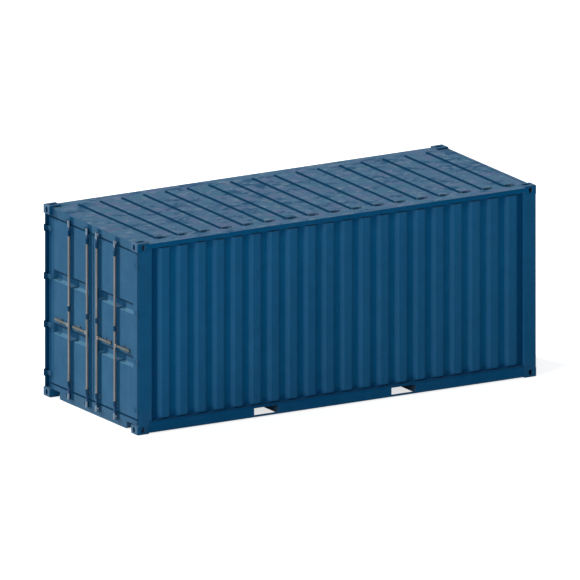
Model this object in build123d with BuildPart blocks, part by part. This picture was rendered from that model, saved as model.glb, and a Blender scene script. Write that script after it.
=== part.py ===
"""Twenty-foot steel cargo container with two swinging end doors, lock rods and lift-up handles.

Millimetres, +Z up, origin on the ground under the middle of the box. The door end is at -X.
Left and right are those of a person who stands outside and faces the doors, so left is +Y.
Every left piece is drawn, and its right twin is its mirror image.
"""
from math import hypot
import os

from build123d import *

os.makedirs("parts", exist_ok=True)

# Overall box and the corner castings
length = 6058.0
width = 2438.0
height = 2591.0
casting_length = 178.0
casting_width = 162.0
casting_height = 118.0
casting_wall = 15.0
casting_plate = 28.0
casting_edge = 9.0
lock_hole_from_end = 102.5
lock_hole_from_side = 89.5
lock_hole_length = 124.0
lock_hole_width = 63.5
side_hole_height = 79.5
side_hole_width = 51.0
side_hole_level = 62.0
side_hole_from_end = 91.0

# How far the skins stay behind the faces of the castings
skin_inset = 3.5
ground_gap = 12.0
roof_drop = 25.0

# Corner posts, bent from plate, and the door stops inside the door posts
post_plate = 6.0
post_bend = 9.0
post_lip_depth = 43.5
door_post_setback = 24.0
door_post_width = 203.0
front_post_width = 186.5
front_post_return = 165.5
front_post_flange = 50.0
stop_plate = 10.0
stop_leg = 40.0
stop_bend = 12.0

# Rails
side_rail_height = 158.0
side_rail_plate = 4.5
side_rail_bend = 7.0
side_rail_top_flange = 48.0
side_rail_bottom_flange = 30.0
top_rail_size = 60.0
top_rail_wall = 3.0
front_rail_height = 138.0
front_rail_depth = 75.0
front_rail_plate = 5.0
front_rail_bend = 8.0

# Corrugated side walls
wall_sheet = 1.6
wall_depth = 36.0
wall_slope = 50.0
wall_end_slope = 18.0
wall_crest = 104.0
wall_pitch = 277.0
wall_rib_shift = 14.0
wall_setback = 2.5
wall_end_margin = 4.0

# Corrugated front wall
front_sheet = 2.0
front_depth = 46.0
front_slope = 48.0
front_crest = 80.0
front_pitch = 250.0

# Ribbed roof
roof_sheet = 2.0
roof_rise = 17.0
roof_slope = 17.0
roof_crest = 136.0
roof_side_flat = 205.5
roof_end_flat = 150.0
roof_pitch = 330.0
roof_rib_shift = 73.0

# Floor, cross members and fork pockets
floor_top = 165.0
board_thickness = 28.0
board_count = 5
board_gap = 3.0
floor_side_gap = 1.5
member_web = 4.0
member_flange = 45.0
member_end_gap = 6.0
middle_members = 5
middle_member_pitch = 330.0
outer_members = 5
first_outer_member = 1500.0
last_member_gap = 71.0
pocket_spacing = 2084.0
pocket_shift = -27.0
pocket_width = 368.0
pocket_height = 92.0
pocket_strap = 30.0
pocket_plate = 6.0

# Door frame
door_plane_setback = 47.0
sill_plate = 5.0
sill_top = 180.0
sill_notch_width = 191.0
sill_notch_top = 112.0
sill_round = 25.0
header_height = 118.0
header_plate = 4.0
opening_from_side = 76.0

# Door leaves and their seals
leaf_lap = 7.0
leaf_inner_edge = 9.0
leaf_thickness = 50.0
leaf_edge_gap = 12.0
stile_width = 100.0
stile_wall = 3.0
panel_sheet = 2.0
trough_height = 152.0
trough_depth = 34.0
trough_slope = 40.0
trough_end_margin = 12.0
upper_trough_top = 1745.0
lower_trough_top = 1026.0
gasket_side = 14.0
gasket_ends = 6.0
gasket_centre = 5.0
gasket_back = 5.0
gasket_stop_gap = 5.0
gasket_width = 35.0
gasket_overlap = 20.0

# Hinges
pin_setback = 12.0
pin_from_skin = 10.5
pin_diameter = 14.0
pin_clearance = 0.5
pin_head = 4.0
barrel_radius = 11.0
blade_thickness = 8.0
blade_height = 60.0
blade_lap = 80.0
blade_crank = 25.0
lug_thickness = 12.0
lug_gap = 0.5
lug_root = 20.0
hinge_count = 4
low_hinge_rise = 120.0
high_hinge_drop = 164.0

# Lock rods and their guides
outer_rod_shift = 13.5
inner_rod_from_edge = 116.0
rod_diameter = 30.0
rod_wall = 3.0
rod_setback = 24.0
guide_clearance = 0.6
guide_ring = 4.4
guide_height = 72.0
guide_base_width = 112.0
guide_base = 4.0
guide_count = 3
low_guide_rise = 98.0
high_guide_drop = 111.0

# Cams on the rod ends and the keepers that they turn into
cam_radius = 20.0
cam_height = 84.0
nose_reach = 44.0
nose_inward = 4.0
nose_radius = 6.0
nose_height = 16.0
low_nose_to_rod_end = 45.0
high_nose_to_rod_end = 21.0
keeper_base = 6.0
keeper_jaw = 6.0
keeper_clearance = 5.0
keeper_start = 28.0
keeper_end = 76.0
keeper_reach = 34.0
keeper_pin_offset = 62.0
keeper_pin_radius = 6.0
keeper_pin_outward = 3.0
sill_keeper_drop = 55.0
header_keeper_rise = 33.0

# Handles, their hubs on the rods and their rests on the leaves
handle_level = 1084.0
handle_thickness = 8.0
handle_height = 30.0
handle_gap = 95.0
handle_pivot = 37.0
handle_pin_radius = 5.0
handle_bore_clearance = 0.5
hub_depth = 24.0
hub_start = 11.0
hub_end = 52.0
hub_height = 44.0
hub_side_clearance = 1.0
hub_slot_start = 20.0
rest_end_gap = 21.0
rest_width = 146.0
rest_base = 4.0
rest_height = 62.0
rest_ledge = 6.0
rest_clearance = 5.0
catch_width = 14.0
catch_rise = 12.0
catch_depth = 12.0

# Planes and levels worked out from the sizes above
end_x = length / 2
side_y = width / 2
casting_inner_x = end_x - casting_length
casting_inner_y = side_y - casting_width
skin_x = end_x - skin_inset
skin_y = side_y - skin_inset
roof_seat = height - roof_drop
side_rail_top = ground_gap + side_rail_height
top_rail_bottom = roof_seat - top_rail_size
top_casting_bottom = height - casting_height
wall_outer_y = skin_y - wall_setback - wall_depth
front_outer_x = skin_x - wall_setback - front_depth
door_post_front = door_post_setback - end_x
door_post_back = door_post_front + door_post_width
front_post_back = skin_x - front_post_width
front_post_inner_y = skin_y - front_post_return
door_plane = door_plane_setback - end_x
leaf_back = door_plane + leaf_thickness
stop_front = leaf_back + gasket_back + gasket_stop_gap
stop_back = stop_front + stop_leg
frame_depth = stop_back - door_plane
opening_half_width = side_y - opening_from_side
header_bottom = roof_seat - header_height
leaf_outer_edge = opening_half_width + leaf_lap
leaf_middle = (leaf_inner_edge + leaf_outer_edge) / 2
leaf_bottom = sill_top + leaf_edge_gap
leaf_top = header_bottom - leaf_edge_gap
pin_x = pin_setback - end_x
pin_y = skin_y - pin_from_skin
rod_x = rod_setback - end_x
rod_radius = rod_diameter / 2
outer_rod_y = leaf_middle + outer_rod_shift
inner_rod_y = leaf_inner_edge + inner_rod_from_edge
rod_positions = (outer_rod_y, inner_rod_y)
handle_end = outer_rod_y - inner_rod_y - handle_gap
rest_end = handle_end - rest_end_gap
sill_keeper_level = sill_top - sill_keeper_drop
header_keeper_level = header_bottom + header_keeper_rise
rod_bottom = sill_keeper_level - low_nose_to_rod_end
rod_top = header_keeper_level + high_nose_to_rod_end
rail_web_y = skin_y - side_rail_plate
member_end_y = rail_web_y - member_end_gap
member_bottom = ground_gap + side_rail_plate
member_top = floor_top - board_thickness
pocket_bottom = ground_gap + pocket_strap
pocket_centres = (pocket_shift - pocket_spacing / 2, pocket_shift + pocket_spacing / 2)
front_rail_top = ground_gap + front_rail_height


def save(piece, name: str) -> None:
    """Label a finished piece and write its file."""
    piece.label = name
    export_step(piece, f"parts/{name}.step")


def save_pair(piece, name: str) -> None:
    """Write the left piece and its mirror image on the right."""
    save(piece, f"left_{name}")
    save(mirror(piece, about=Plane.XZ), f"right_{name}")


def block(x_range: tuple, y_range: tuple, z_range: tuple, mode: Mode = Mode.ADD) -> None:
    """A rectangular block between two corners, in the open part."""
    ranges = (x_range, y_range, z_range)
    with Locations(tuple((low + high) / 2 for low, high in ranges)):
        Box(*(high - low for low, high in ranges), mode=mode)


def span(low: tuple, high: tuple) -> None:
    """A rectangle between two corners, in the open sketch."""
    with Locations(((low[0] + high[0]) / 2, (low[1] + high[1]) / 2)):
        Rectangle(high[0] - low[0], high[1] - low[1])


def spread(first: float, last: float, count: int) -> list:
    """Evenly spaced places from the first to the last."""
    return [first + index * (last - first) / (count - 1) for index in range(count)]


def row(middle: float, pitch: float, room: float) -> list:
    """As many places at one pitch, around the middle, as the room holds."""
    count = int(room // pitch)
    return spread(middle - pitch * (count - 1) / 2, middle + pitch * (count - 1) / 2, count)


def bent_section(plane: Plane, middle_line: list, bend: float, plate: float) -> Sketch:
    """The cross-section of a plate that is folded along a line through its middle."""
    with BuildSketch(plane) as section:
        with BuildLine():
            FilletPolyline(*middle_line, radius=bend)
        trace(line_width=plate)
    return section.sketch


def rib_blanks(places: list, size: tuple, depth: float, slopes: tuple, mode: Mode) -> None:
    """Blocks that taper upwards on all four sides, in the open part."""
    with Locations(*((across, along, depth / 2) for across, along in places)):
        crest = (size[0] - slopes[0], size[1] - slopes[1])
        Wedge(size[0], depth, size[1], *slopes, *crest, rotation=(90, 0, 0), mode=mode)


def press(plane: Plane, places: list, size: tuple, depth: float, slopes: tuple, sheet: float) -> None:
    """Closed-ended hollow ribs, raised along the plane's normal out of the open part's sheet.

    The slopes are how far a rib's sides and its ends lean in over the depth.
    The hollow side of the sheet lies in the plane that is one sheet thickness behind.
    """
    insets = [sheet * (hypot(slope, depth) - slope) / depth for slope in slopes]
    with Locations(plane):
        rib_blanks(places, size, depth, slopes, Mode.ADD)
    with Locations(plane.offset(-sheet)):
        inner = (size[0] - 2 * insets[0], size[1] - 2 * insets[1])
        rib_blanks(places, inner, depth, slopes, Mode.SUBTRACT)


def corner_castings() -> Part:
    """The four bottom castings: hollow blocks with a lock hole below and a hole in both outer faces."""
    with BuildPart() as castings:
        block((casting_inner_x, end_x), (casting_inner_y, side_y), (0, casting_height))
        chamfer(castings.edges().sort_by_distance((end_x, side_y, 0))[0:3], casting_edge)
        inner_x = (casting_inner_x + casting_wall, end_x - casting_wall)
        inner_y = (casting_inner_y + casting_wall, side_y - casting_wall)
        block(inner_x, inner_y, (casting_plate, casting_height - casting_wall), Mode.SUBTRACT)
        with BuildSketch(Plane.XY):
            with Locations((end_x - lock_hole_from_end, side_y - lock_hole_from_side)):
                SlotOverall(lock_hole_length, lock_hole_width)
        extrude(amount=casting_plate, mode=Mode.SUBTRACT)
        with BuildSketch(Plane.XZ.offset(-side_y)):
            with Locations((end_x - side_hole_from_end, side_hole_level)):
                SlotOverall(side_hole_height, side_hole_width, rotation=90)
        extrude(amount=casting_wall, mode=Mode.SUBTRACT)
        with BuildSketch(Plane.YZ.offset(end_x)):
            with Locations((side_y - lock_hole_from_side, side_hole_level)):
                SlotOverall(side_hole_height, side_hole_width, rotation=90)
        extrude(amount=-casting_wall, mode=Mode.SUBTRACT)
        mirror(about=Plane.YZ)
        mirror(about=Plane.XZ)
    return castings.part


def trim_post(inner_side: int) -> None:
    """Cut the open post to stand between the castings and beyond them between the rails."""
    near = sorted((inner_side * casting_inner_x, inner_side * end_x))
    beyond = sorted((inner_side * casting_inner_x, inner_side * (casting_inner_x - casting_length)))
    block(tuple(near), (0, side_y), (top_casting_bottom, height), Mode.SUBTRACT)
    block(tuple(beyond), (0, side_y), (0, side_rail_top), Mode.SUBTRACT)


def door_post() -> Part:
    """A bent side plate with an open groove for the hinges and a channel behind as the door stop."""
    middle_y = skin_y - post_plate / 2
    lip_x = door_post_back - post_plate / 2
    web_x = stop_front + stop_plate / 2
    inner_y = opening_half_width + stop_plate / 2
    outer_y = skin_y - post_plate - stop_plate / 2
    base = Plane.XY.offset(casting_height)
    tall = top_rail_bottom - casting_height
    with BuildPart() as post:
        side_plate = [(door_post_front, middle_y), (lip_x, middle_y), (lip_x, skin_y - post_lip_depth)]
        extrude(bent_section(base, side_plate, post_bend, post_plate), amount=tall)
        stop = [(stop_back, inner_y), (web_x, inner_y), (web_x, outer_y), (stop_back, outer_y)]
        extrude(bent_section(base, stop, stop_bend, stop_plate), amount=tall)
        trim_post(-1)
    return post.part


def front_post() -> Part:
    """A bent plate around the front corner, with a lip at the side wall and one at the front wall."""
    middle_y = skin_y - post_plate / 2
    middle_x = skin_x - post_plate / 2
    lip_x = front_post_back + post_plate / 2
    return_y = front_post_inner_y + post_plate / 2
    outline = [(lip_x, skin_y - post_lip_depth), (lip_x, middle_y), (middle_x, middle_y)]
    outline += [(middle_x, return_y), (skin_x - front_post_flange, return_y)]
    with BuildPart() as post:
        section = bent_section(Plane.XY.offset(casting_height), outline, post_bend, post_plate)
        extrude(section, amount=top_rail_bottom - casting_height)
        trim_post(1)
    return post.part


def bottom_side_rail() -> Part:
    """A channel that opens inwards, with two fork openings above a narrow strap."""
    half = side_rail_plate / 2
    low = ground_gap + half
    high = side_rail_top - half
    outline = [(skin_y - side_rail_bottom_flange, low), (skin_y - half, low)]
    outline += [(skin_y - half, high), (skin_y - side_rail_top_flange, high)]
    with BuildPart() as rail:
        start = Plane.YZ.offset(-casting_inner_x)
        extrude(bent_section(start, outline, side_rail_bend, side_rail_plate), amount=2 * casting_inner_x)
        for centre in pocket_centres:
            opening = (centre - pocket_width / 2, centre + pocket_width / 2)
            levels = (pocket_bottom, pocket_bottom + pocket_height)
            block(opening, (rail_web_y - half, side_y), levels, Mode.SUBTRACT)
    return rail.part


def top_side_rail() -> Part:
    """A square tube between the top castings."""
    middle = (skin_y - top_rail_size / 2, roof_seat - top_rail_size / 2)
    with BuildPart() as rail:
        with BuildSketch(Plane.YZ.offset(-casting_inner_x)):
            with Locations(middle):
                Rectangle(top_rail_size, top_rail_size)
                bore = top_rail_size - 2 * top_rail_wall
                Rectangle(bore, bore, mode=Mode.SUBTRACT)
        extrude(amount=2 * casting_inner_x)
    return rail.part


def side_wall() -> Part:
    """A pressed sheet with upright ribs that end short of the rails."""
    rib = (wall_crest + 2 * wall_slope, top_rail_bottom - side_rail_top - 2 * wall_end_margin)
    level = (side_rail_top + top_rail_bottom) / 2
    middle = (front_post_back + door_post_back) / 2 + wall_rib_shift
    places = [(-place, level) for place in row(middle, wall_pitch, front_post_back - door_post_back)]
    outward = Plane(origin=(0, wall_outer_y, 0), x_dir=(-1, 0, 0), z_dir=(0, 1, 0))
    with BuildPart() as wall:
        with BuildSketch(outward):
            span((-front_post_back, side_rail_top), (-door_post_back, top_rail_bottom))
        extrude(amount=-wall_sheet)
        press(outward, places, rib, wall_depth, (wall_slope, wall_end_slope), wall_sheet)
    return wall.part


def front_wall() -> Part:
    """The same kind of pressed sheet across the closed end."""
    rib = (front_crest + 2 * front_slope, top_rail_bottom - front_rail_top - 2 * wall_end_margin)
    level = (front_rail_top + top_rail_bottom) / 2
    places = [(place, level) for place in row(0, front_pitch, 2 * front_post_inner_y)]
    outward = Plane.YZ.offset(front_outer_x)
    with BuildPart() as wall:
        with BuildSketch(outward):
            span((-front_post_inner_y, front_rail_top), (front_post_inner_y, top_rail_bottom))
        extrude(amount=-front_sheet)
        press(outward, places, rib, front_depth, (front_slope, wall_end_slope), front_sheet)
    return wall.part


def roof_panel() -> Part:
    """A sheet on top of the rails, cut around the castings, with raised cross ribs."""
    rib = (roof_crest + 2 * roof_slope, 2 * (skin_y - roof_side_flat))
    middle = (skin_x + door_plane) / 2 + roof_rib_shift
    room = skin_x - door_plane - 2 * roof_end_flat
    places = [(place, 0) for place in row(middle, roof_pitch, room)]
    upper_face = Plane.XY.offset(roof_seat + roof_sheet)
    with BuildPart() as roof:
        with BuildSketch(upper_face):
            span((door_plane, -casting_inner_y), (skin_x, casting_inner_y))
            span((-casting_inner_x, -skin_y), (casting_inner_x, skin_y))
        extrude(amount=-roof_sheet)
        press(upper_face, places, rib, roof_rise, (roof_slope, roof_slope), roof_sheet)
    return roof.part


def floor_boards() -> Part:
    """Plywood boards laid across the cross members."""
    start = stop_back + board_gap
    finish = skin_x - front_rail_depth
    pitch = (finish - start + board_gap) / board_count
    half_width = skin_y - side_rail_top_flange - floor_side_gap
    with BuildPart() as boards:
        for index in range(board_count):
            near = start + index * pitch
            block((near, near + pitch - board_gap), (-half_width, half_width), (member_top, floor_top))
    return boards.part


def cross_members() -> Part:
    """Channels between the side rails, left out where the fork pockets are."""
    outermost = (middle_members - 1) * middle_member_pitch / 2
    places = spread(-outermost, outermost, middle_members)
    for distance in spread(first_outer_member, casting_inner_x - last_member_gap, outer_members):
        places += [-distance, distance]
    with BuildPart() as members:
        with BuildSketch(Plane.XZ.offset(-member_end_y)):
            for place in places:
                span((place, member_bottom), (place + member_web, member_top))
                toe = place + member_flange
                span((place, member_bottom), (toe, member_bottom + member_web))
                span((place, member_top - member_web), (toe, member_top))
        extrude(amount=2 * member_end_y)
    return members.part


def fork_pockets() -> Part:
    """Two tunnels open below, each a top plate on two upright plates."""
    inner = pocket_width / 2
    outer = inner + pocket_plate
    with BuildPart() as pockets:
        with BuildSketch(Plane.XZ.offset(-member_end_y)):
            for centre in pocket_centres:
                span((centre - outer, member_bottom), (centre - inner, member_top))
                span((centre + inner, member_bottom), (centre + outer, member_top))
                span((centre - inner, pocket_bottom + pocket_height), (centre + inner, member_top))
        extrude(amount=2 * member_end_y)
    return pockets.part


def door_sill() -> Part:
    """A deep tray on edge across the door end, notched beside the castings."""
    notch_y = casting_inner_y - sill_notch_width
    outline = [(0, ground_gap), (notch_y, ground_gap), (notch_y, sill_notch_top)]
    outline += [(casting_inner_y, sill_notch_top), (casting_inner_y, casting_height)]
    outline += [(opening_half_width, casting_height), (opening_half_width, sill_top), (0, sill_top)]
    with BuildPart() as sill:
        with BuildSketch(Plane.YZ.offset(door_plane)) as face:
            with BuildLine():
                Polyline(*outline, close=True)
            make_face()
            corner = face.vertices().sort_by_distance((notch_y, ground_gap, 0))[0]
            fillet(corner, sill_round)
            mirror(about=Plane.YZ)
        extrude(amount=frame_depth)
        with BuildSketch(Plane.YZ.offset(door_plane + sill_plate)):
            add(offset(face.sketch_local, amount=-sill_plate, kind=Kind.INTERSECTION, mode=Mode.PRIVATE))
        extrude(amount=frame_depth, mode=Mode.SUBTRACT)
    return sill.part


def door_header() -> Part:
    """A closed box beam over the doors, with a lower strip that reaches under the castings."""
    outline = [(0, header_bottom), (opening_half_width, header_bottom)]
    outline += [(opening_half_width, top_casting_bottom), (casting_inner_y, top_casting_bottom)]
    outline += [(casting_inner_y, roof_seat), (0, roof_seat)]
    with BuildPart() as header:
        with BuildSketch(Plane.YZ.offset(door_plane)) as face:
            with BuildLine():
                Polyline(*outline, close=True)
            make_face()
            mirror(about=Plane.YZ)
        extrude(amount=frame_depth)
        with BuildSketch(Plane.YZ.offset(door_plane + header_plate)):
            add(offset(face.sketch_local, amount=-header_plate, kind=Kind.INTERSECTION, mode=Mode.PRIVATE))
        extrude(amount=frame_depth - 2 * header_plate, mode=Mode.SUBTRACT)
    return header.part


def front_bottom_rail() -> Part:
    """A channel that opens inwards below the front wall."""
    half = front_rail_plate / 2
    inner_x = skin_x - front_rail_depth
    outline = [(inner_x, ground_gap + half), (skin_x - half, ground_gap + half)]
    outline += [(skin_x - half, front_rail_top - half), (inner_x, front_rail_top - half)]
    with BuildPart() as rail:
        start = Plane.XZ.offset(-casting_inner_y)
        extrude(bent_section(start, outline, front_rail_bend, front_rail_plate), amount=2 * casting_inner_y)
        for side in (-1, 1):
            beside_post = sorted((side * front_post_inner_y, side * side_y))
            block((inner_x, skin_x), tuple(beside_post), (casting_height, front_rail_top), Mode.SUBTRACT)
    return rail.part


def front_top_rail() -> Part:
    """A square tube between the front top castings."""
    with BuildPart() as rail:
        with BuildSketch(Plane.XZ.offset(-casting_inner_y)):
            with Locations((skin_x - top_rail_size / 2, roof_seat - top_rail_size / 2)):
                Rectangle(top_rail_size, top_rail_size)
                bore = top_rail_size - 2 * top_rail_wall
                Rectangle(bore, bore, mode=Mode.SUBTRACT)
        extrude(amount=2 * casting_inner_y)
    return rail.part


def keepers(level: float) -> Part:
    """Two jaws and a pin on a base for every rod, which its cam nose turns in between."""
    half_gap = nose_height / 2 + keeper_clearance
    half_height = half_gap + keeper_jaw
    with BuildPart() as row:
        for rod_y in rod_positions:
            across = (rod_y + keeper_start, rod_y + keeper_end)
            tall = (level - half_height, level + half_height)
            block((door_plane - keeper_base, door_plane), across, tall)
            jaw_x = (door_plane - keeper_reach, door_plane - keeper_base)
            block(jaw_x, across, (level - half_height, level - half_gap))
            block(jaw_x, across, (level + half_gap, level + half_height))
            with Locations((rod_x - keeper_pin_outward, rod_y + keeper_pin_offset, level)):
                Cylinder(keeper_pin_radius, 2 * half_gap)
        mirror(about=Plane.XZ)
    return row.part


def hinge_levels() -> list:
    """The heights of the hinges along a leaf."""
    return spread(leaf_bottom + low_hinge_rise, leaf_top - high_hinge_drop, hinge_count)


def hinge_lugs() -> Part:
    """Pairs of lugs welded to the edge of the door post, each pair with its pin."""
    plate_inner_y = skin_y - post_plate
    inner_face = blade_height / 2 + lug_gap
    with BuildPart() as lugs:
        for level in hinge_levels():
            for bottom in (level - inner_face - lug_thickness, level + inner_face):
                with BuildSketch(Plane.XY.offset(bottom)):
                    with Locations((pin_x, pin_y)):
                        Circle(barrel_radius)
                    span((pin_x, pin_y - barrel_radius), (door_post_front, plate_inner_y))
                    span((pin_x, plate_inner_y), (door_post_front, skin_y))
                    root = (door_post_front + lug_root, plate_inner_y)
                    span((door_post_front, pin_y - barrel_radius), root)
                extrude(amount=lug_thickness)
            with Locations((pin_x, pin_y, level)):
                Cylinder(pin_diameter / 2, 2 * (inner_face + lug_thickness + pin_head))
    return lugs.part


def door_leaf() -> Part:
    """A tube frame with a flush sheet that has two pressed troughs."""
    low = (leaf_inner_edge, leaf_bottom)
    high = (leaf_outer_edge, leaf_top)
    middle = (leaf_middle, (low[1] + high[1]) / 2)
    wide = high[0] - low[0]
    tall = high[1] - low[1]
    trough = (wide - 2 * stile_width - 2 * trough_end_margin, trough_height)
    places = [(leaf_middle, top - trough_height / 2) for top in (upper_trough_top, lower_trough_top)]
    with BuildPart() as leaf:
        with BuildSketch(Plane.YZ.offset(door_plane)):
            span(low, high)
        extrude(amount=leaf_thickness)
        with BuildSketch(Plane.YZ.offset(door_plane + panel_sheet)):
            with Locations(middle):
                Rectangle(wide - 2 * stile_width, tall - 2 * stile_width)
        extrude(amount=leaf_thickness, mode=Mode.SUBTRACT)
        with BuildSketch(Plane.YZ.offset(door_plane + stile_wall)):
            with Locations(middle):
                Rectangle(wide - 2 * stile_wall, tall - 2 * stile_wall)
                inner = 2 * (stile_width - stile_wall)
                Rectangle(wide - inner, tall - inner, mode=Mode.SUBTRACT)
        extrude(amount=leaf_thickness - 2 * stile_wall, mode=Mode.SUBTRACT)
        inner_face = Plane.YZ.offset(door_plane + panel_sheet)
        press(inner_face, places, trough, trough_depth, (trough_slope, trough_slope), panel_sheet)
    return leaf.part


def door_gasket() -> Part:
    """A rubber seal around the leaf, clipped over its back edge."""
    low = (leaf_inner_edge, leaf_bottom)
    high = (leaf_outer_edge, leaf_top)
    seal_low = (leaf_inner_edge - gasket_centre, leaf_bottom - gasket_ends)
    seal_high = (leaf_outer_edge + gasket_side, leaf_top + gasket_ends)
    middle = (leaf_middle, (low[1] + high[1]) / 2)
    wide = high[0] - low[0]
    tall = high[1] - low[1]
    with BuildPart() as gasket:
        with BuildSketch(Plane.YZ.offset(leaf_back - gasket_width)):
            span(seal_low, seal_high)
            with Locations(middle):
                Rectangle(wide, tall, mode=Mode.SUBTRACT)
        extrude(amount=gasket_width)
        with BuildSketch(Plane.YZ.offset(leaf_back)):
            span(seal_low, seal_high)
            with Locations(middle):
                Rectangle(wide - 2 * gasket_overlap, tall - 2 * gasket_overlap, mode=Mode.SUBTRACT)
        extrude(amount=gasket_back)
    return gasket.part


def hinge_blades() -> Part:
    """Cranked blades from barrels on the pins to the face of the leaf."""
    blade_x = door_plane - blade_thickness / 2
    line = [(pin_x, pin_y), (blade_x, pin_y - blade_crank), (blade_x, leaf_outer_edge - blade_lap)]
    with BuildPart() as blades:
        for level in hinge_levels():
            with BuildSketch(Plane.XY.offset(level - blade_height / 2)):
                with BuildLine():
                    FilletPolyline(*line, radius=blade_thickness)
                trace(line_width=blade_thickness)
                with Locations((pin_x, pin_y)):
                    Circle(barrel_radius)
                    Circle(pin_diameter / 2 + pin_clearance, mode=Mode.SUBTRACT)
            extrude(amount=blade_height)
    return blades.part


def rod_guides() -> Part:
    """Saddles on the leaf that each hold a rod in a ring."""
    bore = rod_radius + guide_clearance
    ring = bore + guide_ring
    base_front = door_plane - guide_base
    levels = spread(leaf_bottom + low_guide_rise, leaf_top - high_guide_drop, guide_count)
    with BuildPart() as guides:
        for rod_y in rod_positions:
            for level in levels:
                with BuildSketch(Plane.XY.offset(level - guide_height / 2)):
                    half = guide_base_width / 2
                    span((base_front, rod_y - half), (door_plane, rod_y + half))
                    span((rod_x, rod_y - ring), (base_front, rod_y + ring))
                    with Locations((rod_x, rod_y)):
                        Circle(ring)
                        Circle(bore, mode=Mode.SUBTRACT)
                extrude(amount=guide_height)
    return guides.part


def handle_rests() -> Part:
    """A plate behind the end of every handle, with a ledge below it and an upright catch."""
    ledge_top = handle_level - handle_height / 2 - rest_clearance
    base_front = door_plane - rest_base
    half = rest_height / 2
    with BuildPart() as rests:
        for rod_y in rod_positions:
            start = rod_y + rest_end - rest_width
            across = (start, rod_y + rest_end)
            block((base_front, door_plane), across, (handle_level - half, handle_level + half))
            ledge_x = (rod_x - handle_thickness, base_front)
            block(ledge_x, across, (ledge_top - rest_ledge, ledge_top))
            catch_z = (ledge_top, handle_level + half + catch_rise)
            block((door_plane - catch_depth, door_plane), (start, start + catch_width), catch_z)
    return rests.part


def lock_rod(rod_y: float) -> Part:
    """A tube with a cam at both ends and the hub that carries the handle."""
    axis = (rod_x, rod_y)
    with BuildPart() as rod:
        with BuildSketch(Plane.XY.offset(rod_bottom)):
            with Locations(axis):
                Circle(rod_radius)
        extrude(amount=rod_top - rod_bottom)
        cam_levels = ((rod_bottom, sill_keeper_level), (rod_top - cam_height, header_keeper_level))
        for bottom, nose_level in cam_levels:
            with BuildSketch(Plane.XY.offset(bottom)):
                with Locations(axis):
                    Circle(cam_radius)
            extrude(amount=cam_height)
            with BuildSketch(Plane.XY.offset(nose_level - nose_height / 2)):
                with Locations(axis):
                    Circle(cam_radius / 2)
                with Locations((rod_x + nose_inward, rod_y + nose_reach)):
                    Circle(nose_radius)
                make_hull()
            extrude(amount=nose_height)
        hub_x = (rod_x - hub_depth / 2, rod_x + hub_depth / 2)
        hub_z = (handle_level - hub_height / 2, handle_level + hub_height / 2)
        block(hub_x, (rod_y + hub_start, rod_y + hub_end), hub_z)
        slot = handle_thickness / 2 + hub_side_clearance
        block((rod_x - slot, rod_x + slot), (rod_y + hub_slot_start, rod_y + hub_end), hub_z, Mode.SUBTRACT)
        with Locations((rod_x, rod_y + handle_pivot, handle_level)):
            Cylinder(handle_pin_radius, hub_depth, rotation=(0, 90, 0))
        with BuildSketch(Plane.XY.offset(rod_bottom)):
            with Locations(axis):
                Circle(rod_radius - rod_wall)
        extrude(amount=rod_top - rod_bottom, mode=Mode.SUBTRACT)
    return rod.part


def handle(rod_y: float) -> Part:
    """A flat bar with round ends and a bore for the pin of its hub."""
    near = handle_pivot - handle_height / 2
    with BuildPart() as bar:
        with BuildSketch(Plane.YZ.offset(rod_x - handle_thickness / 2)):
            with Locations((rod_y + (near + handle_end) / 2, handle_level)):
                SlotOverall(handle_end - near, handle_height)
            with Locations((rod_y + handle_pivot, handle_level)):
                Circle(handle_pin_radius + handle_bore_clearance, mode=Mode.SUBTRACT)
        extrude(amount=handle_thickness)
    return bar.part


bottom_castings = corner_castings()
save(bottom_castings, "bottom_castings")
save(mirror(bottom_castings, about=Plane.XY.offset(height / 2)), "top_castings")
save_pair(door_post(), "door_post")
save_pair(front_post(), "front_post")
save_pair(bottom_side_rail(), "bottom_side_rail")
save_pair(top_side_rail(), "top_side_rail")
save_pair(side_wall(), "side_wall")
save(front_wall(), "front_wall")
save(roof_panel(), "roof_panel")
save(floor_boards(), "floor_boards")
save(cross_members(), "cross_members")
save(fork_pockets(), "fork_pockets")
save(door_sill(), "door_sill")
save(door_header(), "door_header")
save(front_bottom_rail(), "front_bottom_rail")
save(front_top_rail(), "front_top_rail")
save(keepers(sill_keeper_level), "sill_keepers")
save(keepers(header_keeper_level), "header_keepers")
save_pair(hinge_lugs(), "hinge_lugs")
save_pair(door_leaf(), "door_leaf")
save_pair(door_gasket(), "door_gasket")
save_pair(hinge_blades(), "hinge_blades")
save_pair(rod_guides(), "rod_guides")
save_pair(handle_rests(), "handle_rests")
for rod_name, rod_place in zip(("outer", "inner"), rod_positions):
    save_pair(lock_rod(rod_place), f"{rod_name}_lock_rod")
    save_pair(handle(rod_place), f"{rod_name}_handle")
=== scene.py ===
"""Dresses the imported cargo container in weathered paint, zinc, rubber and plywood, with welds and bolts.

Metres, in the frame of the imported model: the door end is at -X, +Z is up and the ground is at z = 0.
Left is the side of +Y, as for a person who faces the doors.
"""

import logging
import math
from collections.abc import Iterable
from dataclasses import asdict, dataclass
from enum import Enum, IntEnum, member
from functools import cached_property, reduce
from itertools import pairwise, product

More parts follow.
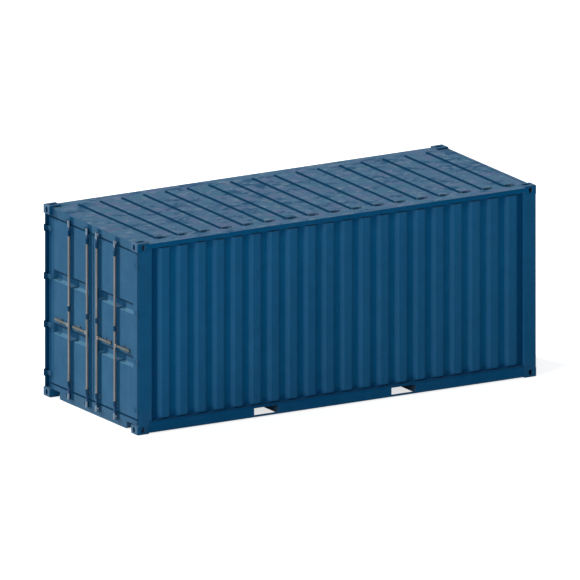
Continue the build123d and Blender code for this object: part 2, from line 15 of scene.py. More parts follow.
import bpy
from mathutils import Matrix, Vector


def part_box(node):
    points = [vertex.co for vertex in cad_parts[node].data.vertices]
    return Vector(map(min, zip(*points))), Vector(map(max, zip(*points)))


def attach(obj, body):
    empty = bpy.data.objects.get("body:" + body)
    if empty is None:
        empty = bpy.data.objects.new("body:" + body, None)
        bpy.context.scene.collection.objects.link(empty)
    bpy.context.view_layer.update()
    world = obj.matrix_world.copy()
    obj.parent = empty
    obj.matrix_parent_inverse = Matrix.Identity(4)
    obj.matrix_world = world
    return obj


LOG = logging.getLogger("container")
Colour = tuple[float, float, float]
Point = tuple[float, float, float]
Line = list[Point]
Spot = tuple[Point, Point]

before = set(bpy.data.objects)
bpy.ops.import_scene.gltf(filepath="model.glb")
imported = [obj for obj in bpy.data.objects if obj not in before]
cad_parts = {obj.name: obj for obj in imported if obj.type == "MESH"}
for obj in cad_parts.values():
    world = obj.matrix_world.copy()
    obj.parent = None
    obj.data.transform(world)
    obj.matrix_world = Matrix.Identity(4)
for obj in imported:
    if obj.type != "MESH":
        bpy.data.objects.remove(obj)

ROOT_BODY = "container"
RUST: Colour = (0.210, 0.078, 0.034)
ROAD_DUST: Colour = (0.130, 0.150, 0.160)
RAIN_STREAKS: Point = (17.0, 17.0, 0.7)
DOORWARDS: Point = (-1.0, 0.0, 0.0)
FRONTWARDS: Point = (1.0, 0.0, 0.0)
UPWARDS: Point = (0.0, 0.0, 1.0)

# Places along X and levels of the door gear.
ROD_X = -3.005
GUIDE_FACE_X = -2.9862
BLADE_FACE_X = -2.9902
TROUGH_FLOOR_X = -2.9330
GUIDE_LEVELS = (0.290, 1.3075, 2.325)
HINGE_LEVELS = (0.312, 0.9653, 1.6187, 2.272)
CAM_LEVELS = (0.1645, 2.4175)
HUB_PIN_LEVEL = 1.084
REST_LEVEL = 1.106
LEAF_GAPS = (0.186, 2.442)

# Stretches of the troughs with painted shadow, from side to side, with how far each fades out.
TROUGH_SHADES = ((0.87, 1.20, 0.03), (0.43, 0.55, 0.02), (-0.32, -0.02, 0.02), (-0.79, -0.66, 0.02))
# Where one rib of the side walls lies along X, and how far apart the ribs are.
WALL_RIB = -2.599
WALL_PITCH = 0.277


class Axis(IntEnum):
    """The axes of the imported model."""

    X = 0
    Y = 1
    Z = 2


class Rod(Enum):
    """The two lock rods of a leaf, with their distance from the middle plane."""

    OUTER = 0.593
    INNER = 0.125


class Side(Enum):
    """The two sides of the container, with the sign of their Y."""

    LEFT = 1
    RIGHT = -1

    def own(self, name: str) -> str:
        """What this side's node, body or piece of that kind is called."""
        return f"{self.name.lower()}_{name}"

    def box(self, node: str) -> tuple[Vector, Vector]:
        """The lowest and highest corner of this side's node."""
        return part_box(self.own(node))

    def reaches(self, node: str) -> list[float]:
        """How near and how far this side's node lies from the middle plane."""
        return sorted(abs(corner.y) for corner in self.box(node))


class Signal:
    """A socket of a finish that can be used in sums."""

    def __init__(self, sheet: "Sheet", socket: bpy.types.NodeSocket) -> None:
        """Keep the socket with the sheet that it belongs to."""
        self.sheet = sheet
        self.socket = socket

    def __add__(self, other: "Signal | float") -> "Signal":
        """Sum."""
        return self.sheet.sum_up("ADD", self, other)

    def __sub__(self, other: "Signal | float") -> "Signal":
        """Difference."""
        return self.sheet.sum_up("SUBTRACT", self, other)

    def __rsub__(self, other: float) -> "Signal":
        """A number less this signal."""
        return self.sheet.sum_up("SUBTRACT", other, self)

    def __mul__(self, other: "Signal | float") -> "Signal":
        """Product."""
        return self.sheet.sum_up("MULTIPLY", self, other)

    def __neg__(self) -> "Signal":
        """The signal with its sign turned."""
        return self.sheet.sum_up("MULTIPLY", self, -1.0)

    def __abs__(self) -> "Signal":
        """The signal without its sign."""
        return self.sheet.sum_up("ABSOLUTE", self, 0.0)

    __radd__ = __add__
    __rmul__ = __mul__

    def either(self, other: "Signal") -> "Signal":
        """The larger of two signals."""
        return self.sheet.sum_up("MAXIMUM", self, other)

    def rise(self, low: float, high: float) -> "Signal":
        """A smooth step from 0 at low to 1 at high; with high below low it falls."""
        inputs = {"Value": self, "From Min": low, "From Max": high}
        return self.sheet.add("ShaderNodeMapRange", {"interpolation_type": "SMOOTHSTEP"}, inputs)

    def within(self, low: float, high: float, soft: float) -> "Signal":
        """1 from low to high, fading to 0 a little beyond both."""
        return self.rise(low - soft, low) * self.rise(high + soft, high)

    def bands(self, middles: Iterable[float], below: float, above: float, soft: float) -> "Signal":
        """1 around each middle, from so far below it to so far above it."""
        return any_of(self.within(middle - below, middle + above, soft) for middle in middles)


def any_of(masks: Iterable[Signal]) -> Signal:
    """The largest of several signals."""
    return reduce(Signal.either, masks)


def dimmed(colour: Colour, share: float) -> Colour:
    """A colour at a share of its strength."""
    return tuple(part * share for part in colour)


@dataclass(frozen=True)
class Stain:
    """Irregular patches of one colour. They begin where a noise is at low, and are full where it is high."""

    scale: float
    detail: float
    low: float
    high: float
    strength: float
    tint: Colour
    stretch: Point = (1.0, 1.0, 1.0)
    shift: float = 0.0


class Sheet:
    """The node tree of one finish."""

    def __init__(self, holder: bpy.types.Material | bpy.types.World) -> None:
        """Empty the holder's tree.

        Args:
            holder: The new material or world.
        """
        self.holder = holder
        holder.use_nodes = True
        self.tree = holder.node_tree
        self.tree.nodes.clear()

    def feed(self, socket: bpy.types.NodeSocket, value: Signal | float | Colour) -> None:
        """Link a signal to a socket, or set the socket's own value.

        Args:
            socket: The input.
            value: What it gets.
        """
        if isinstance(value, Signal):
            self.tree.links.new(value.socket, socket)
        elif isinstance(value, tuple) and socket.type == "RGBA":
            socket.default_value = (*value, 1.0)
        else:
            socket.default_value = value

    def add(self, kind: str, settings: dict, inputs: dict, output: int | str = 0) -> Signal:
        """Add one node.

        Args:
            kind: The node's type.
            settings: Its own settings, set first.
            inputs: Values or signals by the socket's name or number.
            output: Which output is wanted, by name or number.

        Returns:
            That output.
        """
        node = self.tree.nodes.new(kind)
        for name, value in settings.items():
            setattr(node, name, value)
        for name, value in inputs.items():
            self.feed(node.inputs[name], value)
        return Signal(self, node.outputs[output])

    def sum_up(self, operation: str, first: Signal | float, second: Signal | float) -> Signal:
        """One Math node."""
        return self.add("ShaderNodeMath", {"operation": operation}, {0: first, 1: second})

    @property
    def place(self) -> Signal:
        """Object coordinates."""
        return self.add("ShaderNodeTexCoord", {}, {}, "Object")

    def along(self, axis: Axis) -> Signal:
        """The place along an axis."""
        return self.add("ShaderNodeSeparateXYZ", {}, {0: self.place}, axis)

    def facing(self, axis: Axis) -> Signal:
        """How far the surface faces along an axis, from -1 to 1."""
        way = self.add("ShaderNodeTexCoord", {}, {}, "Normal")
        return self.add("ShaderNodeSeparateXYZ", {}, {0: way}, axis)

    @property
    def seen_plainly(self) -> Signal:
        """1 for what the camera, a mirror or a glass pane shows, 0 for light that falls on things."""
        kinds = ("Camera", "Glossy", "Transmission")
        return any_of(self.add("ShaderNodeLightPath", {}, {}, f"Is {kind} Ray") for kind in kinds)

    def noise(self, scale: float, detail: float = 3.0, stretch: Point = (1.0, 1.0, 1.0),
              shift: float = 0.0) -> Signal:
        """Noise in object coordinates.

        Args:
            scale: Waves per metre.
            detail: How many finer layers it has.
            stretch: How much denser it is along each axis.
            shift: A move that makes a second noise unlike the first.

        Returns:
            The noise, about 0.5 in the middle.
        """
        inputs = {"Vector": self.place, "Location": (shift, shift, shift), "Scale": stretch}
        spot = self.add("ShaderNodeMapping", {}, inputs)
        return self.add("ShaderNodeTexNoise", {}, {"Vector": spot, "Scale": scale, "Detail": detail})

    def blend(self, mask: Signal | float, low: Signal | Colour, high: Signal | Colour) -> Signal:
        """Mix two colours: the first where the mask is 0, the second where it is 1."""
        return self.add("ShaderNodeMix", {"data_type": "RGBA"}, {0: mask, 6: low, 7: high}, 2)

    def stained(self, colour: Signal | Colour, *stains: Stain) -> Signal:
        """Lay stains over a colour.

        Args:
            colour: The colour underneath.
            *stains: The stains, the lowest first.

        Returns:
            The stained colour.
        """
        for stain in stains:
            patches = self.noise(stain.scale, stain.detail, stain.stretch, stain.shift)
            mask = patches.rise(stain.low, stain.high) * stain.strength
            colour = self.blend(mask, colour, stain.tint)
        return colour

    def rounded(self, radius: float) -> Signal:
        """The normal, softened at sharp edges."""
        return self.add("ShaderNodeBevel", {"samples": 4}, {"Radius": radius})

    def edges(self, radius: float) -> Signal:
        """Where the surface is near a sharp edge.

        Args:
            radius: How near to the edge it has to be.

        Returns:
            0 on open faces, up to 1 at an edge.
        """
        inputs = {0: self.rounded(radius), 1: self.add("ShaderNodeNewGeometry", {}, {}, "Normal")}
        likeness = self.add("ShaderNodeVectorMath", {"operation": "DOT_PRODUCT"}, inputs, "Value")
        return likeness.rise(0.985, 0.78)

    def phase(self, along: Signal, start: float, pitch: float) -> Signal:
        """How far a point lies before (-) or behind (+) the nearest of even marks, one of them at start."""
        turns = (along - start) * (1.0 / pitch) + 0.5
        return (self.sum_up("FRACT", turns, 0.0) - 0.5) * pitch

    def bump(self, relief: Signal, strength: float, height: float, under: Signal | None = None) -> Signal:
        """A Bump node.

        Args:
            relief: The pattern that is raised.
            strength: How much of it shows.
            height: How high it is, in metres.
            under: A normal that it is laid over.

        Returns:
            The normal.
        """
        inputs = {"Height": relief, "Strength": strength, "Distance": height}
        if under is not None:
            inputs["Normal"] = under
        return self.add("ShaderNodeBump", {}, inputs)

    def close(self, surface: Signal, kind: str = "Material") -> None:
        """Lead the last shader out to a material or a world."""
        output = self.tree.nodes.new(f"ShaderNodeOutput{kind}")
        self.feed(output.inputs["Surface"], surface)

    def finish(self, colour: Signal, rough: Signal, normal: Signal, sheen: float = 0.5,
               metallic: Signal | float = 0.0) -> bpy.types.Material:
        """Close the sheet with a Principled shader.

        Args:
            colour: The base colour.
            rough: The roughness.
            normal: The normal with its relief.
            sheen: The level of mirror light.
            metallic: How metallic it is.

        Returns:
            The material.
        """
        inputs = {"Base Color": colour, "Roughness": rough, "Normal": normal, "Specular IOR Level": sheen,
                  "Metallic": metallic}
        self.close(self.add("ShaderNodeBsdfPrincipled", {}, inputs))
        return self.holder


def wall_shade(sheet: Sheet) -> Signal:
    """Painted shade on the flat strips beside the posts, and at the foot and head of the flats between ribs.

    Args:
        sheet: The finish's sheet.

    Returns:
        The mask, from 0 to 1.
    """
    along = sheet.along(Axis.X)
    height = sheet.along(Axis.Z)
    # Painted shade beside the posts, at the ends of the flats and at the feet of the ribs.
    strips = (-along).rise(2.690, 2.712).either(along.rise(2.750, 2.772)) * 0.72
    flats = abs(sheet.along(Axis.Y)).rise(1.205, 1.180)
    ends = height.rise(0.32, 0.19).either(height.rise(2.34, 2.47)) * flats * 0.36
    phase = sheet.phase(along, WALL_RIB, WALL_PITCH)
    foot = (height - phase * phase * 2.4).rise(0.216, 0.184) * 0.60
    return any_of((strips, ends, foot))


def groove_shade(sheet: Sheet) -> Signal:
    """Painted shade in the grooves of the door posts beside the leaves.

    Args:
        sheet: The finish's sheet.

    Returns:
        The mask, from 0 to 1.
    """
    along = sheet.along(Axis.X)
    outwards = sheet.along(Axis.Y) * sheet.facing(Axis.Y)
    groove = along.rise(-2.995, -2.975) * along.rise(-2.750, -2.800)
    return groove * (1.0 - outwards.rise(0.6, 0.9)) * 0.9


def knuckle_shade(sheet: Sheet) -> Signal:
    """Painted shade on the outer part of the left hinges, in the groove."""
    return sheet.along(Axis.Y).rise(1.155, 1.165) * 0.85


def rail_shade(sheet: Sheet) -> Signal:
    """Painted shade on the top edge of the bottom side rails, at the walls' foot."""
    height = sheet.along(Axis.Z)
    return height.rise(0.132, 0.158) * height.rise(0.30, 0.25) * 0.45


def door_shade(sheet: Sheet) -> Signal:
    """Painted shadows around the lock rods and their keepers and in the leaves' troughs, and painted shade
    on the leaves' hinge edges and along the gaps around them.

    Args:
        sheet: The finish's sheet.

    Returns:
        The mask, from 0 to 1.
    """
    across = sheet.along(Axis.Y)
    height = sheet.along(Axis.Z)
    rods = [side.value * rod.value for side, rod in product(Side, Rod)]
    # Painted shadows of the rods on the leaves, and of the rods and keepers on the sill and header.
    on_leaves = across.bands(rods, 0.070, 0.070, 0.014) * height.within(0.195, 2.438, 0.008)
    on_frame = across.bands(rods, 0.084, 0.018, 0.014) * height.within(0.085, 2.542, 0.014)
    behind = on_leaves.either(on_frame) * 0.85
    # Painted shade along the leaves' hinge edges.
    left_edge = (across.rise(0.975, 1.030) * 0.45).either(across.rise(1.045, 1.100))
    right_edge = across.rise(-1.122, -1.138) * 0.8
    # Painted shadows in the troughs.
    shades = any_of(across.within(*shade) for shade in TROUGH_SHADES)
    troughs = shades * sheet.along(Axis.X).rise(-2.974, -2.966) * 0.75
    doorwards = (-sheet.facing(Axis.X)).rise(0.3, 0.7)
    # Painted shade along the gaps above and below the leaves.
    gaps = height.bands(LEAF_GAPS, 0.012, 0.012, 0.005) * 0.9
    return (any_of((behind, left_edge, right_edge, troughs)) * doorwards).either(gaps)


class PaintedShade(Enum):
    """Places where shade is painted into the colour, each with the mask for it."""

    WALLS = member(wall_shade)
    POST_GROOVES = member(groove_shade)
    KNUCKLES = member(knuckle_shade)
    RAIL_TOPS = member(rail_shade)
    DOOR_END = member(door_shade)


@dataclass(frozen=True)
class Paint:
    """Marine paint on steel: fading, dust, rain streaks, chips and rust, with painted light and painted
    shade.
    """

    name: str
    colour: Colour
    faded: Colour
    # The lighter tone of painted light on lit faces.
    bleached: Colour = (0.062, 0.122, 0.190)
    fade: float = 0.5
    dust: float = 0.08
    streaks: float = 0.22
    rust: float = 0.25
    edge_wear: float = 0.5
    # How much painted light upward faces and door-end faces get, and how much painted shade undersides get.
    top_bleach: float = 0.35
    end_bleach: float = 0.0
    under_shade: float = 0.55
    # How much painted light the wall crests and the slopes towards the door end get.
    crest_bleach: float = 0.0
    gloss: float = 0.50
    sheen: float = 0.02
    # Where shade is painted into the colour, if anywhere.
    grime: PaintedShade | None = None
    beaded: bool = False

    @property
    def grimy(self) -> Colour:
        """The colour of painted shade: the paint darker, with almost no red."""
        red, green, blue = self.colour
        return (min(red * 0.42, 0.0012), green * 0.43, blue * 0.54)

    def weathered(self, sheet: Sheet) -> Signal:
        """Faded patches, darker mottling, rain streaks, dust and scuffs.

        Args:
            sheet: The finish's sheet.

        Returns:
            The colour.
        """
        colour = sheet.stained(
            self.colour,
            Stain(0.9, 4.0, 0.34, 0.70, self.fade, self.faded),
            Stain(6.0, 6.0, 0.35, 0.75, 0.32, dimmed(self.colour, 0.72), shift=3.1),
            Stain(1.0, 4.0, 0.50, 0.78, self.streaks, dimmed(self.colour, 0.68), RAIN_STREAKS, 7.7),
            Stain(1.0, 5.0, 0.55, 0.80, self.dust, ROAD_DUST, RAIN_STREAKS, 12.3))
        low = sheet.along(Axis.Z).rise(0.45, 0.0) * sheet.noise(5.0, 5.0, shift=5.0)
        colour = sheet.blend(low * (self.dust * 1.6), colour, ROAD_DUST)
        return sheet.stained(colour, Stain(38.0, 5.0, 0.68, 0.74, 0.30, self.faded, (1.0, 1.0, 0.4), 21.0))

    def shaded(self, sheet: Sheet, colour: Signal, grime: Signal | float) -> Signal:
        """Painted light on upward faces, on faces towards the door end and on the wall crests; painted shade
        on undersides and in set places.

        Args:
            sheet: The finish's sheet.
            colour: The colour so far.
            grime: Where shade is painted, from 0 to 1.

        Returns:
            The colour.
        """
        upwards = sheet.facing(Axis.Z)
        doorwards = -sheet.facing(Axis.X)
        # Painted light: upward faces and faces towards the door end are made lighter.
        colour = sheet.blend(upwards.rise(0.25, 0.75) * self.top_bleach, colour, self.bleached)
        colour = sheet.blend(doorwards.rise(0.5, 0.9) * self.end_bleach, colour, self.bleached)
        # Painted light on the wall crests and on slopes towards the door end.
        if self.crest_bleach > 0.0:
            crests = abs(sheet.along(Axis.Y)).rise(1.182, 1.208)
            lit_crests = (crests * 0.6).either(doorwards.rise(0.2, 0.6)) * self.crest_bleach
            colour = sheet.blend(lit_crests, colour, self.bleached)
        # Painted shade on undersides.
        below = (-upwards).rise(0.15, 0.65) * self.under_shade
        colour = sheet.blend(below, colour, dimmed(self.colour, 0.35))
        # Painted shade in the set places.
        return sheet.blend(grime, colour, self.grimy)

    def build(self) -> bpy.types.Material:
        """Paint with chips and rust, over wavy sheet metal, or over weld ripples where it is beaded.

        Returns:
            The material.
        """
        sheet = Sheet(bpy.data.materials.new(self.name))
        # The mask of painted shade; edge wear is kept out of it.
        grime = self.grime.value(sheet) if self.grime else 0.0
        edges = sheet.edges(0.007) * sheet.noise(11.0, 5.0, shift=1.7).rise(0.38, 0.66) * (1.0 - grime)
        zones = sheet.noise(1.7, 2.0, shift=9.0).rise(0.48, 0.72)
        spots = sheet.noise(46.0, 6.0, shift=15.0).rise(0.655, 0.70)
        worn = sheet.noise(24.0, 6.0, shift=33.0).rise(0.50, 0.62) * edges
        rusty = (spots * zones).either(worn) * self.rust
        colour = self.shaded(sheet, self.weathered(sheet), grime)
        colour = sheet.blend(edges * self.edge_wear, colour, self.faded)
        colour = sheet.blend(rusty, colour, RUST)
        rough = self.gloss + 0.16 * sheet.noise(3.0, 4.0, shift=2.0) + rusty * 0.35
        relief = sheet.bump(sheet.noise(2.3, 2.0, shift=4.0), 0.28, 0.006, sheet.rounded(0.0025))
        if self.beaded:
            relief = sheet.bump(sheet.noise(190.0, 2.0), 0.8, 0.002, relief)
        relief = sheet.bump(sheet.noise(330.0, 3.0) + rusty * 0.8, 0.12, 0.0006, relief)
        return sheet.finish(colour, rough, relief, self.sheen)


@dataclass(frozen=True)
class RoofPaint:
    """Sun-faded roof paint in pools of many tints, with worn specks, and painted shade and shadow along the
    ribs.
    """

    name: str
    rib: float = 0.09475
    pitch: float = 0.330
    rib_foot: float = 0.085
    rib_end: float = 1.010
    # Sizes and places of the painted shadow beside the ribs' feet and before their ends.
    seam_width: float = 0.016
    pool_width: float = 0.030
    pool_half: float = 0.044
    pool_shift: float = 0.018
    colour: Colour = (0.064, 0.142, 0.238)
    navy: Colour = (0.016, 0.076, 0.156)
    teal: Colour = (0.048, 0.152, 0.216)
    violet: Colour = (0.118, 0.142, 0.252)
    pale: Colour = (0.150, 0.228, 0.298)
    speck: Colour = (0.330, 0.400, 0.450)
    # The colour of the painted shade and shadow along the ribs.
    seam: Colour = (0.0010, 0.0320, 0.0760)

    def seams(self, sheet: Sheet) -> Signal:
        """Painted shade on the ribs' door side and on the middle of their ends, and painted shadow on the
        sheet beside their feet and before their ends.

        Args:
            sheet: The finish's sheet.

        Returns:
            The mask, from 0 to 1.
        """
        along = sheet.along(Axis.X)
        reach = abs(sheet.along(Axis.Y))
        phase = sheet.phase(along, self.rib, self.pitch)
        # Painted shade on the ribs' door-side flanks and the middle of their ends; painted shadow on the
        # sheet beside and before them.
        sloping = sheet.facing(Axis.Z).rise(0.15, 0.4)
        doorwards = (-sheet.facing(Axis.X)).rise(0.25, 0.6) * sloping
        sidewards = abs(sheet.facing(Axis.Y)).rise(0.25, 0.6) * sloping
        middle = abs(phase + self.pool_shift).rise(self.pool_half + 0.006, self.pool_half - 0.006)
        foot = -self.rib_foot
        start = foot - self.seam_width
        beside = phase.rise(start, start + 0.004) * phase.rise(foot + 0.002, foot)
        beside = beside * reach.rise(self.rib_end - 0.004, self.rib_end - 0.012)
        before = reach.within(self.rib_end, self.rib_end + self.pool_width, 0.003) * middle
        on_sheet = beside.either(before) * 0.85 * along.rise(-2.70, -2.69)
        return any_of((doorwards, sidewards * middle * 0.6, on_sheet))

    def build(self) -> bpy.types.Material:
        """Pools of many tints with specks and rust, and the painted shade and shadow of the ribs over them.

        Returns:
            The material.
        """
        sheet = Sheet(bpy.data.materials.new(self.name))
        across = (0.7, 1.3, 1.0)
        colour = sheet.stained(
            self.colour,
            Stain(3.1, 4.0, 0.46, 0.62, 0.42, self.teal, across),
            Stain(4.4, 5.0, 0.48, 0.64, 0.50, self.violet, across, 6.0),
            Stain(5.2, 6.0, 0.51, 0.66, 0.85, self.navy, across, 11.0),
            Stain(9.0, 6.0, 0.54, 0.68, 0.70, self.pale, across, 14.0),
            Stain(26.0, 5.0, 0.67, 0.72, 0.5, self.speck, shift=17.0),
            Stain(40.0, 6.0, 0.70, 0.74, 0.4, RUST, shift=23.0))
        seams = self.seams(sheet)
        # Painted shade and shadow along the ribs.
        colour = sheet.blend(seams, colour, self.seam)
        rough = 0.60 + 0.25 * sheet.noise(4.0, 5.0, shift=2.0) + seams * 0.3
        relief = sheet.bump(sheet.noise(3.0, 2.0, shift=4.0), 0.35, 0.006, sheet.rounded(0.0025))
        relief = sheet.bump(sheet.noise(240.0, 4.0), 0.15, 0.0008, relief)
        return sheet.finish(colour, rough, relief, 0.02)


@dataclass(frozen=True)
class Zinc:
    """Galvanised steel with spangle, a dull film and rust.

    It can have painted ends; on the tips the unpainted metal shows only on their doorward side, as a painted
    highlight, and their far side takes the paint as painted shade.
    """

    name: str
    colour: Colour
    film: Colour
    rust: float
    metal: float = 0.35
    painted_ends: tuple[float, float] | None = None
    # Where the tips begin: a painted highlight of unpainted metal on their doorward side, painted shade on
    # their far side.
    bare_tips: tuple[float, float] | None = None
    paint: Colour = (0.0017, 0.0500, 0.1420)
    # The colour of the painted highlight on the tips' unpainted metal.
    tip: Colour = (0.130, 0.215, 0.300)

    def build(self) -> bpy.types.Material:
        """Zinc with its film, painted and rusty in places.

        Returns:
            The material.
        """
        sheet = Sheet(bpy.data.materials.new(self.name))
        spangle = sheet.add("ShaderNodeTexVoronoi", {}, {"Vector": sheet.place, "Scale": 110.0}, "Color")
        flake = sheet.add("ShaderNodeRGBToBW", {}, {0: spangle})
        colour = sheet.blend(flake * 0.35, self.colour, dimmed(self.colour, 0.72))
        film = sheet.noise(5.0, 5.0, (1.0, 1.0, 0.35)).rise(0.38, 0.66)
        colour = sheet.blend(film * 0.7, colour, self.film)
        rusty = sheet.noise(30.0, 6.0, (1.0, 1.0, 0.5), 8.0).rise(0.60, 0.70) * self.rust
        metallic = self.metal - film * (self.metal * 0.5) - rusty * 0.2
        if self.painted_ends and self.bare_tips:
            height = sheet.along(Axis.Z) + 0.02 * sheet.noise(20.0, 2.0)
            painted, tips = (height.rise(low + 0.01, low).either(height.rise(high, high + 0.01))
                             for low, high in (self.painted_ends, self.bare_tips))
            # Painted highlight of unpainted metal on the tips' doorward side only; the far side keeps the
            # paint as painted shade.
            bare_lit = tips * (-sheet.facing(Axis.X)).rise(0.0, 0.6)
            painted = painted * (1.0 - bare_lit)
            colour = sheet.blend(bare_lit * 0.75, sheet.blend(painted * 0.96, colour, self.paint), self.tip)
            metallic = metallic * (1.0 - painted)
        colour = sheet.blend(rusty, colour, RUST)
        rough = 0.44 + film * 0.14 + rusty * 0.3
        relief = sheet.bump(sheet.noise(260.0, 3.0) + rusty, 0.15, 0.0006, sheet.rounded(0.0015))
        return sheet.finish(colour, rough, relief, 0.25, metallic)


@dataclass(frozen=True)
class Rubber:
    """Black door-seal rubber, greyed by dust."""

    name: str
    colour: Colour = (0.010, 0.016, 0.024)
    dusty: Colour = (0.030, 0.046, 0.062)

    def build(self) -> bpy.types.Material:
        """Rubber with dust and fine cracks.

        Returns:
            The material.
        """
        sheet = Sheet(bpy.data.materials.new(self.name))
        dust = sheet.noise(7.0, 6.0, (1.0, 1.0, 0.4)).rise(0.42, 0.72)
        colour = sheet.blend(dust * 0.6, self.colour, self.dusty)
        cracks = sheet.add("ShaderNodeTexVoronoi", {"feature": "DISTANCE_TO_EDGE"},
                           {"Vector": sheet.place, "Scale": 90.0})
        relief = sheet.noise(420.0, 3.0) + cracks.rise(0.0, 0.06) * 0.4
        return sheet.finish(colour, 0.62 + dust * 0.2, sheet.bump(relief, 0.25, 0.0008))


@dataclass(frozen=True)
class Plywood:
    """Oiled marine plywood, scuffed by pallets, with its plies on the cut edges."""

    name: str
    heart: Colour = (0.200, 0.094, 0.038)
    light: Colour = (0.350, 0.190, 0.086)
    scuff: Colour = (0.120, 0.080, 0.056)
    fibres: Point = (14.0, 1.0, 14.0)

    def build(self) -> bpy.types.Material:
        """Wood grain, plies and the pallets' tracks.

        Returns:
            The material.
        """
        sheet = Sheet(bpy.data.materials.new(self.name))
        grain = sheet.noise(6.0, 7.0, self.fibres).rise(0.32, 0.70)
        colour = sheet.blend(grain, self.heart, self.light)
        plies = sheet.add("ShaderNodeTexWave", {"bands_direction": "Z"},
                          {"Vector": sheet.place, "Scale": 90.0, "Distortion": 1.5}, "Fac")
        edge = 1.0 - sheet.facing(Axis.Z).rise(0.3, 0.7)
        colour = sheet.blend(edge * plies * 0.7, colour, self.heart)
        tracks = sheet.noise(1.0, 5.0, (0.5, 9.0, 1.0), 4.0).rise(0.52, 0.70)
        colour = sheet.blend(tracks * 0.65, colour, self.scuff)
        relief = sheet.bump(sheet.noise(30.0, 6.0, self.fibres), 0.3, 0.0012)
        return sheet.finish(colour, 0.50 + tracks * 0.22, relief)


# Paint colours that several finishes share.
BLUE: Colour = (0.0022, 0.0990, 0.2440)
FADED: Colour = (0.0075, 0.1280, 0.2840)
SCOURED: Colour = (0.0400, 0.1580, 0.2670)
SHADY: Colour = (0.0010, 0.0840, 0.2140)


class Finish(Enum):
    """Every finish of the container; its material is built when it is first used."""

    # Each paint below also sets how much painted light and painted shade it takes, and where.
    WALLS = Paint("wall_paint", (0.0025, 0.1030, 0.2540), (0.0080, 0.1330, 0.2960), fade=0.30, dust=0.04,
                  crest_bleach=0.22, grime=PaintedShade.WALLS)
    FRONT_WALL = Paint("front_wall_paint", BLUE, FADED, fade=0.30, dust=0.04)
    POSTS = Paint("post_paint", (0.0085, 0.0950, 0.2220), FADED, fade=0.25, streaks=0.15, edge_wear=0.25,
                  rust=0.12, grime=PaintedShade.POST_GROOVES)
    CASTINGS = Paint("casting_paint", SHADY, SCOURED, fade=0.2, edge_wear=0.6, rust=0.6, top_bleach=0.75,
                     end_bleach=0.85)
    RAILS = Paint("rail_paint", SHADY, SCOURED, fade=0.08, edge_wear=0.4, rust=0.5, dust=0.03,
                  end_bleach=0.5, grime=PaintedShade.RAIL_TOPS)
    DOORS = Paint("door_paint", (0.0240, 0.0900, 0.1750), (0.036, 0.122, 0.213), (0.038, 0.138, 0.220),
                  fade=0.45, top_bleach=0.9, under_shade=0.8, edge_wear=0.6, dust=0.12, grime=PaintedShade.DOOR_END)
    DOOR_FRAME = Paint("door_frame_paint", (0.0260, 0.0900, 0.1700), (0.060, 0.134, 0.200), edge_wear=0.8,
                       rust=0.5, grime=PaintedShade.DOOR_END)
    UNDERFRAME = Paint("underframe_paint", (0.002, 0.048, 0.110), (0.012, 0.070, 0.140), rust=0.9, dust=0.20)
    HINGES = Paint("hinge_paint", (0.018, 0.082, 0.168), SCOURED, fade=0.2, edge_wear=0.6, rust=0.4,
                   grime=PaintedShade.KNUCKLES)
    RESTS = Paint("rest_paint", (0.030, 0.092, 0.158), (0.150, 0.158, 0.167), fade=0.6, edge_wear=0.9,
                  rust=0.6)
    WELDS = Paint("weld_paint", BLUE, FADED, fade=0.4, beaded=True, rust=0.5, edge_wear=0.0)
    KEEPERS = Paint("keeper_paint", (0.005, 0.053, 0.125), (0.100, 0.167, 0.217), fade=0.15, edge_wear=0.9,
                    rust=0.7)
    GUIDES = Paint("guide_paint", (0.005, 0.047, 0.110), (0.083, 0.142, 0.183), fade=0.15, edge_wear=0.7,
                   rust=0.5)
    BOLTS = Paint("bolt_paint", (0.010, 0.070, 0.150), SCOURED, fade=0.3, edge_wear=0.5, rust=0.8)
    ROOF = RoofPaint("roof_paint")
    RODS = Zinc("rod_zinc", (0.225, 0.222, 0.220), (0.165, 0.172, 0.170), 0.45, painted_ends=(0.319, 2.294),
                bare_tips=(0.170, 2.410))
    HANDLES = Zinc("handle_zinc", (0.096, 0.102, 0.086), (0.058, 0.084, 0.088), 0.6, metal=0.2)
    SEALS = Rubber("seal_rubber")
    FLOOR = Plywood("floor_plywood")

    @cached_property
    def material(self) -> bpy.types.Material:
        """The built material."""
        return self.value.build()

    def dress(self, *nodes: str) -> None:
        """Give CAD nodes this finish.

        Args:
            *nodes: The nodes' names.
        """
        for node in nodes:
            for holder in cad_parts[node].material_slots:
                holder.material = self.material
            LOG.info("%s dressed in %s", node, self.material.name)


def put(name: str, data: bpy.types.ID) -> bpy.types.Object:
    """Put a new object at the origin of the scene.

    Args:
        name: The object's name.
        data: Its mesh, camera or light.

    Returns:
        The object.
    """
    thing = bpy.data.objects.new(name, data)
    bpy.context.scene.collection.objects.link(thing)
    return thing


def plate(name: str, points: Line, faces: list[tuple[int, ...]],
          material: bpy.types.Material) -> bpy.types.Object:
    """Put a new mesh object in the scene.

    Args:
        name: The name of the object and of its mesh.
        points: The corners.
        faces: Each face's corners by number.
        material: What it is made of.

    Returns:
        The object.
    """
    mesh = bpy.data.meshes.new(name)
    mesh.from_pydata(points, [], faces)
    mesh.materials.append(material)
    return put(name, mesh)


def ring(centre: Point, radius: float, count: int) -> Line:
    """The points of a level circle, anticlockwise as seen from above.

    Args:
        centre: Its middle.
        radius: Its radius.
        count: How many points it has.

    Returns:
        The points.
    """
    x, y, z = centre
    turns = [2 * math.pi * index / count for index in range(count)]
    return [(x + radius * math.cos(turn), y + radius * math.sin(turn), z) for turn in turns]


def upright(start: tuple[float, float], end: tuple[float, float], low: float, high: float) -> Line:
    """A closed upright rectangle between two places in plan, from a low level to a high one."""
    return [(*start, low), (*end, low), (*end, high), (*start, high), (*start, low)]


